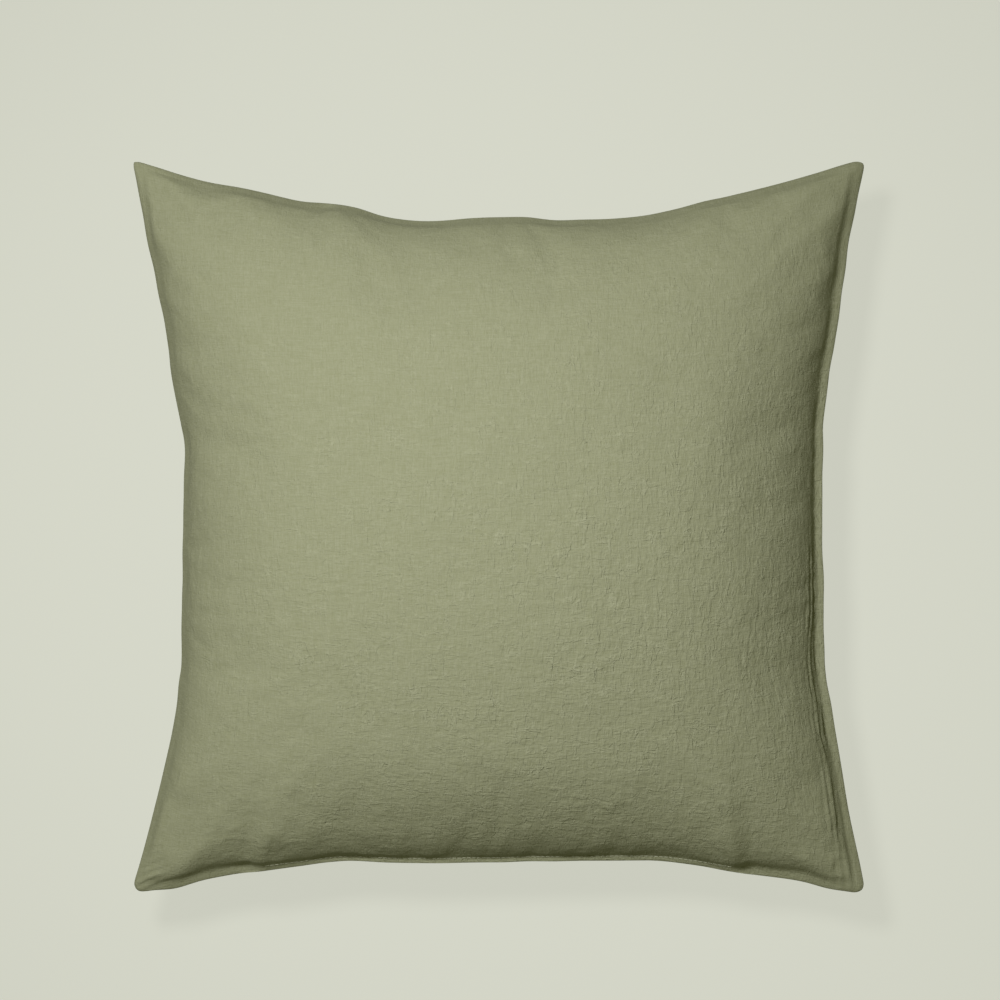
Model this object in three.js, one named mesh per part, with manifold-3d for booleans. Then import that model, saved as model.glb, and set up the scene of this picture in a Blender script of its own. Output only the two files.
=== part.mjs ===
// A square cushion: a washed-linen cover with a zip in its lower seam, over a removable fibre-filled insert.
//
// Millimetres, +Z up. The cushion lies on its back panel with the front panel facing up, and the origin is on
// the floor under its middle. +X runs along the zip and +Y points away from it. The cover and the insert are
// nested shells that share one grid of places: u runs from -1 at the left side to 1 at the right side, and v
// from -1 at the zip's side to 1 at the top side.
import * as THREE from "three";
import { mergeVertices } from "three/addons/utils/BufferGeometryUtils.js";
import Module from "manifold-3d";

// ---- The filled cushion ----
const WIDTH = 480; // from tip to tip along X
const DEPTH = 480; // from tip to tip along Y
const CROWN = 92; // how far the front panel rises above the seam
const BELLY = 86; // how far the back panel would hang below the seam with no floor under it
const SEAM_HEIGHT = 74; // the floor presses the belly flat at this distance below the seam

// waist: how far a side's middle is drawn in from the line between its tips.
// straight: the share of the side, from its middle, that stays straight. ease: how the rest curves out.
const SIDES = {
  right: { waist: 29, straight: 0.2, ease: 1.4 },
  left: { waist: 32, straight: 0.2, ease: 1.4 },
  top: { waist: 38, straight: 0.25, ease: 1.5 },
  bottom: { waist: 20, straight: 0.45, ease: 1.7 },
};

// ---- Fabric and gaps ----
const LINEN = 0.8; // cover cloth
const COTTON = 0.6; // insert casing cloth
const GAP = 0.3; // between pieces that touch
const FIT = 0.4; // between one layer and the next one inside it
const ALLOWANCE = 10; // cover cloth turned in at the seam
const INSERT_EASE = 4; // from the turned-in cloth to the insert's edge
const GRID_CELLS = 14; // cells of the shared grid from side to side

// ---- Zip: a nylon coil on two woven tapes, facing -Y ----
const CHAIN_LENGTH = 300;
const TAPE_WIDTH = 11;
const TAPE = 0.5; // tape thickness
const TAPE_END = 14; // past each end of the chain
const CHAIN_PARTING = 1.6; // between the two tapes' facing edges
const COIL_WIDTH = 1.7;
const COIL_DEPTH = 1.5;
const COIL_SIDES = 10;
const SLOT_CLEARANCE = 0.8; // from the slider's shoulders to the folded edges of the panels
const SLOT_END = 4; // past each end of the tapes, at its full height
const SLOT_RUNOUT = 22; // over which it closes to the plain seam at each end
const SLOT_REACH = 0.4; // how far into the panel, as a share of v, the slot lifts it
const STOP_WALL = 0.7;
const TOP_STOP_LENGTH = 2.4;
const BOTTOM_STOP_LENGTH = 3.2;

// ---- Slider and pull tab ----
const SLIDER_LENGTH = 9.5;
const SLIDER_SHOULDER = 0.6; // how far each shoulder stands out past the tail
const SLIDER_PLATE = 1;
const WEDGE_LENGTH = 3.5; // of the web that joins the two plates
const FLANGE = 0.8; // side walls of the front plate
const BAIL_SPAN = 3.2; // clear length of the arch that holds the tab
const BAIL = 0.8; // thickness of the arch
const BAIL_WIDTH = 1.4;
const TAB_LENGTH = 19; // from the pivot to the tip
const TAB_TIP = 3.4; // width at the tip
const TAB = 1; // thickness
const TAB_BAR = 1.2; // width of the bar that lies under the arch
const TAB_RAIL = 1.3; // width of the rails that run from the bar past the arch
const TAB_SWING = 0.27; // left above and below the bar as it turns
const WINDOW_END = 1.8; // from the arch to the far end of the tab's window
const WINDOW_SIDE = 0.5; // from the arch to each rail
const TAB_HOLE = { length: 5, width: 1.8, fromTip: 2.4 }; // finger grip

// ---- Threads and labels ----
const THREAD = 0.5;
const SEAM_LINE = 3.5; // from the cover's edge to its seam stitching
const ZIP_STITCH_RISE = 3.5; // from the folded edge to the row of stitching beside the zip
const ZIP_STITCH_END = 8; // short of each end of the slot's full height
const OVERLOCK = { width: 1, height: 1.6, gap: 0.8 }; // edge stitching, gap from the insert's edge
const LABEL = { length: 30, height: 16, thickness: 0.5, ease: 1, lift: 0.65 }; // ease and lift: off the seam

// ---- Worked out. The zip's places are measured from the seam plane. ----
const HALF_GAP = GAP / 2;
const INSERT_INSET = ALLOWANCE + INSERT_EASE; // from the cover's edge to the insert's edge
const BAIL_CLEAR = Math.hypot(TAB, TAB_BAR) + 2 * TAB_SWING; // clear height of the arch
const SLIDER_EDGE = -(DEPTH / 2 - SIDES.bottom.waist); // the arch comes level with the cover's edge
const PLATE_FRONT = SLIDER_EDGE + BAIL + BAIL_CLEAR;
const PLATE_BACK = PLATE_FRONT + SLIDER_PLATE;
const COIL_FRONT = PLATE_BACK + GAP;
const COIL_BACK = COIL_FRONT + COIL_DEPTH;
const TAPE_FACE = COIL_BACK + GAP;
const TAPE_BACK = TAPE_FACE + TAPE;
const TAPE_EDGE = CHAIN_PARTING / 2;
const WEB = TAPE_EDGE - GAP; // half the width of anything that passes between the tapes
const COIL_OUTER = TAPE_EDGE + COIL_WIDTH;
const FLANGE_INNER = COIL_OUTER + GAP;
const SLIDER_TAIL = FLANGE_INNER + FLANGE; // half its width there
const SLIDER_WIDE = SLIDER_TAIL + SLIDER_SHOULDER; // half its width across the shoulders
const CHAIN_END = CHAIN_LENGTH / 2;
const SLIDER_X = CHAIN_END - SLIDER_LENGTH / 2; // with the zip closed
const FOLD = SLIDER_WIDE + SLOT_CLEARANCE; // from the seam plane to a panel's folded edge
const TAPE_TIP = CHAIN_END + TAPE_END;
const SLOT_TIP = TAPE_TIP + SLOT_END;
const SLOT_ENDS = [SLOT_TIP, SLOT_TIP + SLOT_RUNOUT].map((x) => x / (WIDTH / 2));
const STITCH_END = (SLOT_TIP - ZIP_STITCH_END) / (WIDTH / 2);

const wasm = await Module();
wasm.setup();

function material(color, roughness, metalness = 0) {
  return new THREE.MeshStandardMaterial({ color, roughness, metalness });
}

const linen = material(0x969977, 0.95);
const cotton = material(0xe9e6dc, 0.9);
const fibre = material(0xf4f3ef, 1);
const tape = material(0x7f8362, 0.85);
const nylon = material(0x777b5c, 0.45);
const metal = material(0x80846a, 0.4, 0.3);
const greenThread = material(0x8b8f6c, 0.7);
const whiteThread = material(0xece9e0, 0.7);
const satin = material(0xf1efe8, 0.6);

// ---- Shape of the cushion ----

// 1 over the straight middle of a side, easing to 0 at its tips.
function drawnIn(along, side) {
  const past = Math.max(0, Math.abs(along) - side.straight) / (1 - side.straight);
  return 1 - past ** side.ease;
}

// 1 along the zip, 0 past the ends of its slot.
function slotOpen(u) {
  const [fullEnd, closedEnd] = SLOT_ENDS;
  return THREE.MathUtils.clamp((closedEnd - Math.abs(u)) / (closedEnd - fullEnd), 0, 1);
}

// What lies behind the zip is held back from it over its whole length.
function planPoint(u, v, inset, behindZip = false) {
  const across = u > 0 ? SIDES.right : SIDES.left;
  const along = v > 0 ? SIDES.top : SIDES.bottom;
  const heldBack = behindZip && v < 0 ? slotOpen(u) : 0;
  return [
    u * (WIDTH / 2 - inset - across.waist * drawnIn(v, across)),
    v * (DEPTH / 2 - inset - along.waist * Math.max(drawnIn(u, along), heldBack)),
  ];
}

// 1 over the middle of the cushion, falling to 0 at the seam like the side of an ellipse.
function bulge(u, v) {
  return Math.sqrt(Math.max(0, (1 - u * u) * (1 - v * v)));
}

// How far the slot pushes a panel away from the seam.
function slotLift(u, v) {
  const fade = THREE.MathUtils.clamp(1 - (v + 1) / SLOT_REACH, 0, 1);
  return (FOLD - HALF_GAP) * slotOpen(u) * fade;
}

// A layer is { inset, rim, depth, slotted, behindZip }: its distance in from the cover's edge, how high its
// own edge is off the seam, its depth below the cover's outer face, and whether it parts at the zip or lies
// behind it.
// facing is 1 for the front panel's side of the seam and -1 for the back panel's.
function layerPoint(u, v, layer, facing) {
  const [x, y] = planPoint(u, v, layer.inset, layer.behindZip);
  const reach = (facing > 0 ? CROWN : BELLY) - layer.depth;
  const lift = layer.slotted ? slotLift(u, v) : 0;
  const off = layer.rim + lift + (reach - layer.rim) * bulge(u, v);
  const z = SEAM_HEIGHT + facing * off;
  return new THREE.Vector3(x, y, Math.max(z, layer.depth));
}

// ---- The shared grid ----

// Places from -1 to 1, closer together towards the seam, with some extra ones put in.
function gridPlaces(extra) {
  const even = Array.from({ length: GRID_CELLS + 1 }, (_, i) => Math.sin(Math.PI * (i / GRID_CELLS - 0.5)));
  const near = Math.PI / (4 * GRID_CELLS);
  const clear = (place) => extra.every((other) => Math.abs(other - place) > near);
  const kept = even.filter((place) => Math.abs(place) === 1 || clear(place));
  return [...kept, ...extra].sort((a, b) => a - b);
}

const COLUMNS = gridPlaces([STITCH_END, ...SLOT_ENDS].flatMap((u) => [-u, u]));
const ROWS = gridPlaces([]);

// The grid's edge, anticlockwise from the lower left tip.
const RIM = [
  ...COLUMNS.slice(1).map((u) => [u, -1]),
  ...ROWS.slice(1).map((v) => [1, v]),
  ...COLUMNS.toReversed().slice(1).map((u) => [u, 1]),
  ...ROWS.toReversed().slice(1).map((v) => [-1, v]),
];

// ---- Mesh building ----

class Faces {
  constructor(facing = 1) {
    this.facing = facing;
    this.points = [];
  }

  triangle(a, b, c) {
    this.points.push(...(this.facing > 0 ? [a, b, c] : [c, b, a]));
  }

  quad(a, b, c, d) {
    this.triangle(a, b, c);
    this.triangle(a, c, d);
  }

  // One layer over the whole grid. Each cell is split along the line that points at the nearest tip.
  sheet(layer, facing, turnedOver = false) {
    const at = (i, j) => layerPoint(COLUMNS[i], ROWS[j], layer, facing);
    for (let i = 0; i + 1 < COLUMNS.length; i++) {
      for (let j = 0; j + 1 < ROWS.length; j++) {
        const corners = [at(i, j), at(i + 1, j), at(i + 1, j + 1), at(i, j + 1)];
        const towardsTip = (COLUMNS[i] + COLUMNS[i + 1]) * (ROWS[j] + ROWS[j + 1]) > 0;
        const [a, b, c, d] = towardsTip ? corners : [...corners.slice(1), corners[0]];
        if (turnedOver) this.quad(a, d, c, b);
        else this.quad(a, b, c, d);
      }
    }
  }

  // A closed band between two loops of points that go round the same way.
  band(from, to) {
    from.forEach((point, i) => {
      const next = (i + 1) % from.length;
      this.quad(point, to[i], to[next], from[next]);
    });
  }

  geometry() {
    return new THREE.BufferGeometry().setFromPoints(this.points);
  }
}

// A thin panel: an outer layer, an inner layer, and the loops of points that join them round the edge.
function panel(outer, inner, facing, edgeLoops = []) {
  const rimOf = (layer) => RIM.map(([u, v]) => layerPoint(u, v, layer, facing));
  const loops = [rimOf(outer), ...edgeLoops, rimOf(inner)];
  const faces = new Faces(facing);
  faces.sheet(outer, facing);
  faces.sheet(inner, facing, true);
  loops.slice(1).forEach((loop, i) => faces.band(loops[i], loop));
  return faces.geometry();
}

// Corner points of a level strip's rectangular section at one point of its path.
function stripSection(point, back, ahead, width, low, high) {
  const along = back.clone().add(ahead).normalize();
  const side = new THREE.Vector2(along.y, -along.x).multiplyScalar(width / 2 / along.dot(ahead));
  const right = point.clone().add(side);
  const left = point.clone().sub(side);
  return [
    new THREE.Vector3(right.x, right.y, low),
    new THREE.Vector3(right.x, right.y, high),
    new THREE.Vector3(left.x, left.y, high),
    new THREE.Vector3(left.x, left.y, low),
  ];
}

// A level strip of rectangular section along a path of [x, y], with mitred corners.
function strip(path, width, low, high, closed = false) {
  const points = path.map(([x, y]) => new THREE.Vector2(x, y));
  const count = points.length;
  const spans = points.map((point, i) => points[(i + 1) % count].clone().sub(point).normalize());
  const sections = points.map((point, i) => {
    const ahead = closed || i + 1 < count ? spans[i] : spans[i - 1];
    const back = closed || i > 0 ? spans[(i - 1 + count) % count] : ahead;
    return stripSection(point, back, ahead, width, low, high);
  });
  const faces = new Faces();
  for (let i = 0; i < (closed ? count : count - 1); i++) {
    const here = sections[i];
    const next = sections[(i + 1) % count];
    here.forEach((corner, k) => faces.quad(corner, next[k], next[(k + 1) % 4], here[(k + 1) % 4]));
  }
  if (!closed) {
    faces.quad(...sections[0]);
    faces.quad(...sections[count - 1].toReversed());
  }
  return faces.geometry();
}

function rectangle(x0, x1, y0, y1) {
  const corners = [[x0, y0], [x1, y0], [x1, y1], [x0, y1]];
  return new THREE.Shape(corners.map(([x, y]) => new THREE.Vector2(x, y)));
}

function extruded(shape, depth) {
  return new THREE.ExtrudeGeometry(shape, { depth, bevelEnabled: false, curveSegments: 6 });
}

// A bar from x0 to x1 whose section is drawn in (Y, Z).
function barAlongX(section, x0, x1) {
  const drawnYz = new THREE.Matrix4().set(0, 0, 1, x0, 1, 0, 0, 0, 0, 1, 0, 0, 0, 0, 0, 1);
  return extruded(section, x1 - x0).applyMatrix4(drawnYz);
}

// A block whose z0 and z1 are distances from the seam plane, on the side that facing says.
function block(x0, x1, y0, y1, z0, z1, facing = 1) {
  const [low, high] = [facing * z0, facing * z1].sort((a, b) => a - b);
  return barAlongX(rectangle(y0, y1, low, high), x0, x1);
}

// A plate drawn in (X, Z), from backY outwards, which is towards -Y.
function plate(outline, thickness, backY) {
  return extruded(outline, thickness).rotateX(Math.PI / 2).translate(0, backY, 0);
}

function solidOf(geometry) {
  const bare = geometry.clone();
  bare.deleteAttribute("normal");
  bare.deleteAttribute("uv");
  const merged = mergeVertices(bare, 1e-4);
  const vertProperties = new Float32Array(merged.attributes.position.array);
  const triVerts = new Uint32Array(merged.index.array);
  return new wasm.Manifold(new wasm.Mesh({ numProp: 3, vertProperties, triVerts }));
}

function joined(geometries) {
  const mesh = geometries.map(solidOf).reduce((whole, piece) => whole.add(piece)).getMesh();
  return new THREE.BufferGeometry()
    .setAttribute("position", new THREE.BufferAttribute(mesh.vertProperties, 3))
    .setIndex(new THREE.BufferAttribute(mesh.triVerts, 1));
}

// ---- Cover ----

const TURNED_IN = HALF_GAP + LINEN; // top of the turned-in cloth, off the seam
const COVER_OUTER = { inset: 0, rim: TURNED_IN + LINEN, depth: 0, slotted: true };
const COVER_INNER = { inset: LINEN, rim: TURNED_IN, depth: LINEN, slotted: true };

// A point of the cloth turned in at the seam. Along the slot the cloth stops at the tapes.
function turnedInPoint(u, v, facing, rim, inset) {
  const point = layerPoint(u, v, { ...COVER_OUTER, inset, rim }, facing);
  if (v === -1 && inset > 0) point.y = THREE.MathUtils.lerp(point.y, TAPE_FACE - GAP, slotOpen(u));
  return point;
}

function coverPanel(facing) {
  const corners = [[HALF_GAP, 0], [HALF_GAP, ALLOWANCE], [TURNED_IN, ALLOWANCE]];
  const turnedIn = corners.map(([rim, inset]) => {
    return RIM.map(([u, v]) => turnedInPoint(u, v, facing, rim, inset));
  });
  return panel(COVER_OUTER, COVER_INNER, facing, turnedIn);
}

// The seam stitching runs from one end of the slot, round the other three sides, to its other end.
function coverSeamThread(facing) {
  const closedEnd = SLOT_ENDS[1];
  const start = RIM.findIndex(([u, v]) => v === -1 && u > closedEnd);
  const round = [...RIM.slice(start), ...RIM.slice(0, start)];
  const sewn = round.filter(([u, v]) => v !== -1 || Math.abs(u) > closedEnd);
  const path = sewn.map(([u, v]) => planPoint(u, v, SEAM_LINE));
  const near = facing * (TURNED_IN + GAP);
  const far = near + facing * THREAD;
  return strip(path, THREAD, SEAM_HEIGHT + Math.min(near, far), SEAM_HEIGHT + Math.max(near, far));
}

// ---- Insert ----

function insertLayer(within, rim) {
  return { inset: INSERT_INSET + within, rim, depth: LINEN + FIT + within, behindZip: true };
}

const CASING_OUTER = insertLayer(0, HALF_GAP);
const CASING_INNER = insertLayer(COTTON, HALF_GAP);
const FILLING = insertLayer(COTTON + FIT, 0);

function filling() {
  const faces = new Faces();
  faces.sheet(FILLING, 1);
  faces.sheet(FILLING, -1, true);
  return faces.geometry();
}

function insertSeamThread() {
  const inset = INSERT_INSET - OVERLOCK.gap - OVERLOCK.width / 2;
  const path = RIM.map(([u, v]) => planPoint(u, v, inset, true));
  const half = OVERLOCK.height / 2;
  return strip(path, OVERLOCK.width, SEAM_HEIGHT - half, SEAM_HEIGHT + half, true);
}

// ---- Zip ----

// A label stands between the insert and the cover, at the side of the cushion that side says.
function label(side, facing) {
  const [edge] = planPoint(side, 0, ALLOWANCE + LABEL.ease);
  const [x0, x1] = [edge, edge - side * LABEL.thickness].sort((a, b) => a - b);
  const half = LABEL.length / 2;
  const root = TURNED_IN + LABEL.lift;
  return block(x0, x1, -half, half, root, root + LABEL.height, facing);
}

function zipTape(facing) {
  return block(-TAPE_TIP, TAPE_TIP, TAPE_FACE, TAPE_BACK, TAPE_EDGE, TAPE_EDGE + TAPE_WIDTH, facing);
}

function zipCoil(facing) {
  const middleY = (COIL_FRONT + COIL_BACK) / 2;
  const middleZ = facing * (TAPE_EDGE + COIL_WIDTH / 2);
  const turns = Array.from({ length: COIL_SIDES }, (_, i) => (2 * Math.PI * i) / COIL_SIDES);
  const section = turns.map((turn) => {
    const y = middleY + (COIL_DEPTH / 2) * Math.cos(turn);
    return new THREE.Vector2(y, middleZ + (COIL_WIDTH / 2) * Math.sin(turn));
  });
  return barAlongX(new THREE.Shape(section), -CHAIN_END, CHAIN_END);
}

// A clip round one tape's edge at the closed end of the chain.
function topStop(facing) {
  const x0 = CHAIN_END + GAP;
  const x1 = x0 + TOP_STOP_LENGTH;
  const front = TAPE_FACE - GAP;
  const back = TAPE_BACK + GAP;
  return joined([
    block(x0, x1, front - STOP_WALL, front, HALF_GAP, COIL_OUTER, facing),
    block(x0, x1, back, back + STOP_WALL, HALF_GAP, COIL_OUTER, facing),
    block(x0, x1, front - STOP_WALL, back + STOP_WALL, HALF_GAP, WEB, facing),
  ]);
}

// One clip round both tapes' edges at the other end of the chain.
function bottomStop() {
  const x1 = -CHAIN_END - GAP;
  const x0 = x1 - BOTTOM_STOP_LENGTH;
  const front = TAPE_FACE - GAP;
  const back = TAPE_BACK + GAP;
  return joined([
    block(x0, x1, front - STOP_WALL, front, -COIL_OUTER, COIL_OUTER),
    block(x0, x1, back, back + STOP_WALL, -COIL_OUTER, COIL_OUTER),
    block(x0, x1, front - STOP_WALL, back + STOP_WALL, -WEB, WEB),
  ]);
}

// The row of stitching beside the zip lies on the panel's outer face.
function zipStitch(facing) {
  const z = SEAM_HEIGHT + facing * (FOLD + ZIP_STITCH_RISE);
  const path = COLUMNS.filter((u) => Math.abs(u) <= STITCH_END).map((u) => {
    const low = layerPoint(u, ROWS[0], COVER_OUTER, facing);
    const high = layerPoint(u, ROWS[1], COVER_OUTER, facing);
    const onFace = low.clone().lerp(high, (z - low.z) / (high.z - low.z));
    return [onFace.x, onFace.y - GAP - THREAD / 2];
  });
  return strip(path, THREAD, z - THREAD / 2, z + THREAD / 2);
}

// ---- Slider and tab. x is measured from the pivot. ----

// Narrow at the tail, which is towards -X, and rounded at the shoulders.
function sliderOutline() {
  const nose = SLIDER_LENGTH / 2;
  const outline = new THREE.Shape();
  outline.moveTo(-nose, -SLIDER_TAIL);
  outline.lineTo(-nose / 4, -SLIDER_TAIL);
  outline.quadraticCurveTo(nose / 8, -SLIDER_WIDE, nose / 2, -SLIDER_WIDE);
  outline.quadraticCurveTo(nose, -SLIDER_WIDE, nose, -SLIDER_WIDE / 2);
  outline.lineTo(nose, SLIDER_WIDE / 2);
  outline.quadraticCurveTo(nose, SLIDER_WIDE, nose / 2, SLIDER_WIDE);
  outline.quadraticCurveTo(nose / 8, SLIDER_WIDE, -nose / 4, SLIDER_TAIL);
  outline.lineTo(-nose, SLIDER_TAIL);
  return outline;
}

// The arch that holds the tab, drawn in (X, height above the plate). Its feet are sunk in the plate.
function bail() {
  const inside = BAIL_SPAN / 2;
  const outside = inside + BAIL;
  const top = BAIL_CLEAR + BAIL;
  const foot = -SLIDER_PLATE / 2;
  const arch = new THREE.Shape();
  arch.moveTo(-outside, foot);
  arch.lineTo(-inside, foot);
  arch.lineTo(-inside, BAIL_CLEAR);
  arch.lineTo(inside, BAIL_CLEAR);
  arch.lineTo(inside, foot);
  arch.lineTo(outside, foot);
  arch.lineTo(outside, BAIL_CLEAR);
  arch.quadraticCurveTo(outside, top, inside, top);
  arch.lineTo(-inside, top);
  arch.quadraticCurveTo(-outside, top, -outside, BAIL_CLEAR);
  return extruded(arch, BAIL_WIDTH)
    .translate(0, 0, -BAIL_WIDTH / 2)
    .rotateX(Math.PI)
    .translate(0, PLATE_FRONT, 0);
}

function slider() {
  const nose = SLIDER_LENGTH / 2;
  const backPlate = TAPE_BACK + GAP;
  const half = SLIDER_PLATE / 2;
  return joined([
    plate(sliderOutline(), SLIDER_PLATE, PLATE_BACK),
    plate(sliderOutline(), SLIDER_PLATE, backPlate + SLIDER_PLATE),
    block(nose - WEDGE_LENGTH, nose - GAP, PLATE_BACK - half, backPlate + half, -WEB, WEB),
    block(-nose, nose / 2, PLATE_BACK - half, TAPE_FACE - GAP, FLANGE_INNER, SLIDER_TAIL),
    block(-nose, nose / 2, PLATE_BACK - half, TAPE_FACE - GAP, FLANGE_INNER, SLIDER_TAIL, -1),
    bail(),
  ]);
}

function pullTab() {
  const clear = BAIL_WIDTH / 2 + WINDOW_SIDE;
  const half = clear + TAB_RAIL;
  const tip = TAB_TIP / 2;
  const near = TAB_BAR / 2;
  const windowEnd = -(BAIL_SPAN / 2 + BAIL + WINDOW_END);
  const outline = new THREE.Shape();
  outline.moveTo(near, half);
  outline.lineTo(windowEnd - TAB_BAR, half);
  outline.lineTo(-TAB_LENGTH + tip, tip);
  outline.quadraticCurveTo(-TAB_LENGTH, tip, -TAB_LENGTH, 0);
  outline.quadraticCurveTo(-TAB_LENGTH, -tip, -TAB_LENGTH + tip, -tip);
  outline.lineTo(windowEnd - TAB_BAR, -half);
  outline.lineTo(near, -half);
  const grip = TAB_HOLE.fromTip - TAB_LENGTH;
  outline.holes = [
    rectangle(windowEnd, -near, -clear, clear),
    rectangle(grip, grip + TAB_HOLE.length, -TAB_HOLE.width / 2, TAB_HOLE.width / 2),
  ];
  return plate(outline, TAB, PLATE_FRONT - BAIL_CLEAR / 2 + TAB / 2);
}

// ---- The whole cushion ----

function piece(name, geometry, surface, x = 0, z = 0) {
  const mesh = new THREE.Mesh(geometry, surface.clone());
  mesh.name = name;
  mesh.position.set(x, 0, z);
  return mesh;
}

const cushion = new THREE.Group();
cushion.name = "cushion";
cushion.add(
  piece("cover_front", coverPanel(1), linen),
  piece("cover_back", coverPanel(-1), linen),
  piece("cover_seam_needle_thread", coverSeamThread(1), greenThread),
  piece("cover_seam_bobbin_thread", coverSeamThread(-1), greenThread),
  piece("cover_care_label", label(-1, -1), satin, 0, SEAM_HEIGHT),
  piece("zip_tape_front", zipTape(1), tape, 0, SEAM_HEIGHT),
  piece("zip_tape_back", zipTape(-1), tape, 0, SEAM_HEIGHT),
  piece("zip_coil_front", zipCoil(1), nylon, 0, SEAM_HEIGHT),
  piece("zip_coil_back", zipCoil(-1), nylon, 0, SEAM_HEIGHT),
  piece("zip_top_stop_front", topStop(1), metal, 0, SEAM_HEIGHT),
  piece("zip_top_stop_back", topStop(-1), metal, 0, SEAM_HEIGHT),
  piece("zip_bottom_stop", bottomStop(), metal, 0, SEAM_HEIGHT),
  piece("zip_stitch_front", zipStitch(1), greenThread),
  piece("zip_stitch_back", zipStitch(-1), greenThread),
  piece("zip_slider", slider(), metal, SLIDER_X, SEAM_HEIGHT),
  piece("zip_pull_tab", pullTab(), metal, SLIDER_X, SEAM_HEIGHT),
  piece("insert_casing_front", panel(CASING_OUTER, CASING_INNER, 1), cotton),
  piece("insert_casing_back", panel(CASING_OUTER, CASING_INNER, -1), cotton),
  piece("insert_seam_thread", insertSeamThread(), whiteThread),
  piece("insert_care_label", label(1, 1), satin, 0, SEAM_HEIGHT),
  piece("insert_filling", filling(), fibre),
);

export default cushion;
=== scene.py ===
"""A square cushion in a washed-linen cover with a zip in its lower seam, over a fibre-filled insert."""
import math

import bpy
import numpy as np
from bpy.props import FloatProperty, FloatVectorProperty, IntProperty, PointerProperty
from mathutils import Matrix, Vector
from mathutils.bvhtree import BVHTree


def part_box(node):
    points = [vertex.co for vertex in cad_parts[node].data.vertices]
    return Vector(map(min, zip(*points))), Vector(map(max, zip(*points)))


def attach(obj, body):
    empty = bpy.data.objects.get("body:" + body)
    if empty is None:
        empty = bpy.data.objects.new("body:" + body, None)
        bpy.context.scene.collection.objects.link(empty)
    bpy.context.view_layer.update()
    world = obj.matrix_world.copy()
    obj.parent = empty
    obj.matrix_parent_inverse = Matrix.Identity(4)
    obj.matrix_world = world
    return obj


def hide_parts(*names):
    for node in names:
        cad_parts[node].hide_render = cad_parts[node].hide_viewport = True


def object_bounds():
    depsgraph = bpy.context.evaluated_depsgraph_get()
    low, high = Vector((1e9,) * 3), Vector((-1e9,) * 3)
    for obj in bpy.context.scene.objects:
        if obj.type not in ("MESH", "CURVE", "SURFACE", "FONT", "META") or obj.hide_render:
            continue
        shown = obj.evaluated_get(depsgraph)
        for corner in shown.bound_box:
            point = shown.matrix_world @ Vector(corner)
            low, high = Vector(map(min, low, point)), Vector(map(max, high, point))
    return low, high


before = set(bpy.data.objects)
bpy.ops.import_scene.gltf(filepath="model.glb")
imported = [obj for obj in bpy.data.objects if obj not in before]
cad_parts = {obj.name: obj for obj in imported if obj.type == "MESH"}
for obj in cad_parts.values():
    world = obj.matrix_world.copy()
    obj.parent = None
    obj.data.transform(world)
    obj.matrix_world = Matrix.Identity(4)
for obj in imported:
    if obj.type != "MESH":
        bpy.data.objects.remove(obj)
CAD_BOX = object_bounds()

bl_info = {
    "name": "Linen Cushion",
    "version": (1, 0, 0),
    "blender": (4, 5, 0),
    "location": "3D View > Sidebar > Cushion",
    "description": "Sews, fills and lights a square linen cushion",
    "category": "Add Mesh",
}

# ---- Places that come from the frame, in metres ----
HALF_WIDTH = CAD_BOX[1].x
HALF_DEPTH = CAD_BOX[1].y
SEAM = (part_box("cover_front")[0].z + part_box("cover_back")[1].z) / 2
CROWN = CAD_BOX[1].z - SEAM
TAPE_LOW, TAPE_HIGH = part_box("zip_tape_front")
SLOT_TIP = TAPE_HIGH.x - 0.008  # where the zip's slot begins to close
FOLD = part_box("zip_slider")[1].z - SEAM + 0.0008  # height of the folded edges that clear the slider

# ---- Sizes of the making, in metres unless they are shares ----
FLOOR_GAP = 0.0001
FLOOR_ROUNDING = 0.0016  # height over which the back panel rounds into its flat patch
UNSETTLED = 0.93  # share of its height that a panel has before the pressure swells it
ARC_INSET = 0.035  # how far the crowned arc ends inside the cushion's half width
NARROW_LIP = 0.35  # share by which the lip is narrower along the left side and the top
LIP_EDGE, LIP_CREST, LIP_VALLEY = 0.0012, 0.0022, 0.0019  # heights over the fold's underside
SETTLING_FRAMES = 12
SWELL_KEPT, WRINKLE_KEPT, WRINKLE_LIMIT = 0.45, 0.5, 0.002
PLEAT_PITCH = 0.0062
CASING_DEPTH, FIBRE_DEPTH = 0.0024, 0.0036  # under the linen's settled surface
MERGE = 0.00001  # points nearer than this are one point
# Length of one stitch and thickness of its thread, for each kind of row.
STITCHES = {"seam": (0.003, 0.0004), "zip": (0.0032, 0.00036), "overlock": (0.0026, 0.0011)}

# ---- Stage, in metres, watts and degrees ----
KEY_PLACE, KEY_AIM = (-0.41, 0.53, 1.84), (-0.03, 0.0, SEAM)
KEY_POWER, KEY_SPREAD, KEY_SIZE = 131.0, 38.0, 0.16
SKY_COLOUR, SKY_STRENGTH = (1.0, 1.0, 0.34, 1), 0.10
BACKDROP = (0.60, 0.61, 0.53, 1)
VIEW_CENTRE, VIEW_DISTANCE, VIEW_WIDTH = (0.0008, 0.0178), 2.6, 0.6575
FILM_WIDTH = 36  # millimetres
FLOOR_WIDTH = 14


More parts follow.
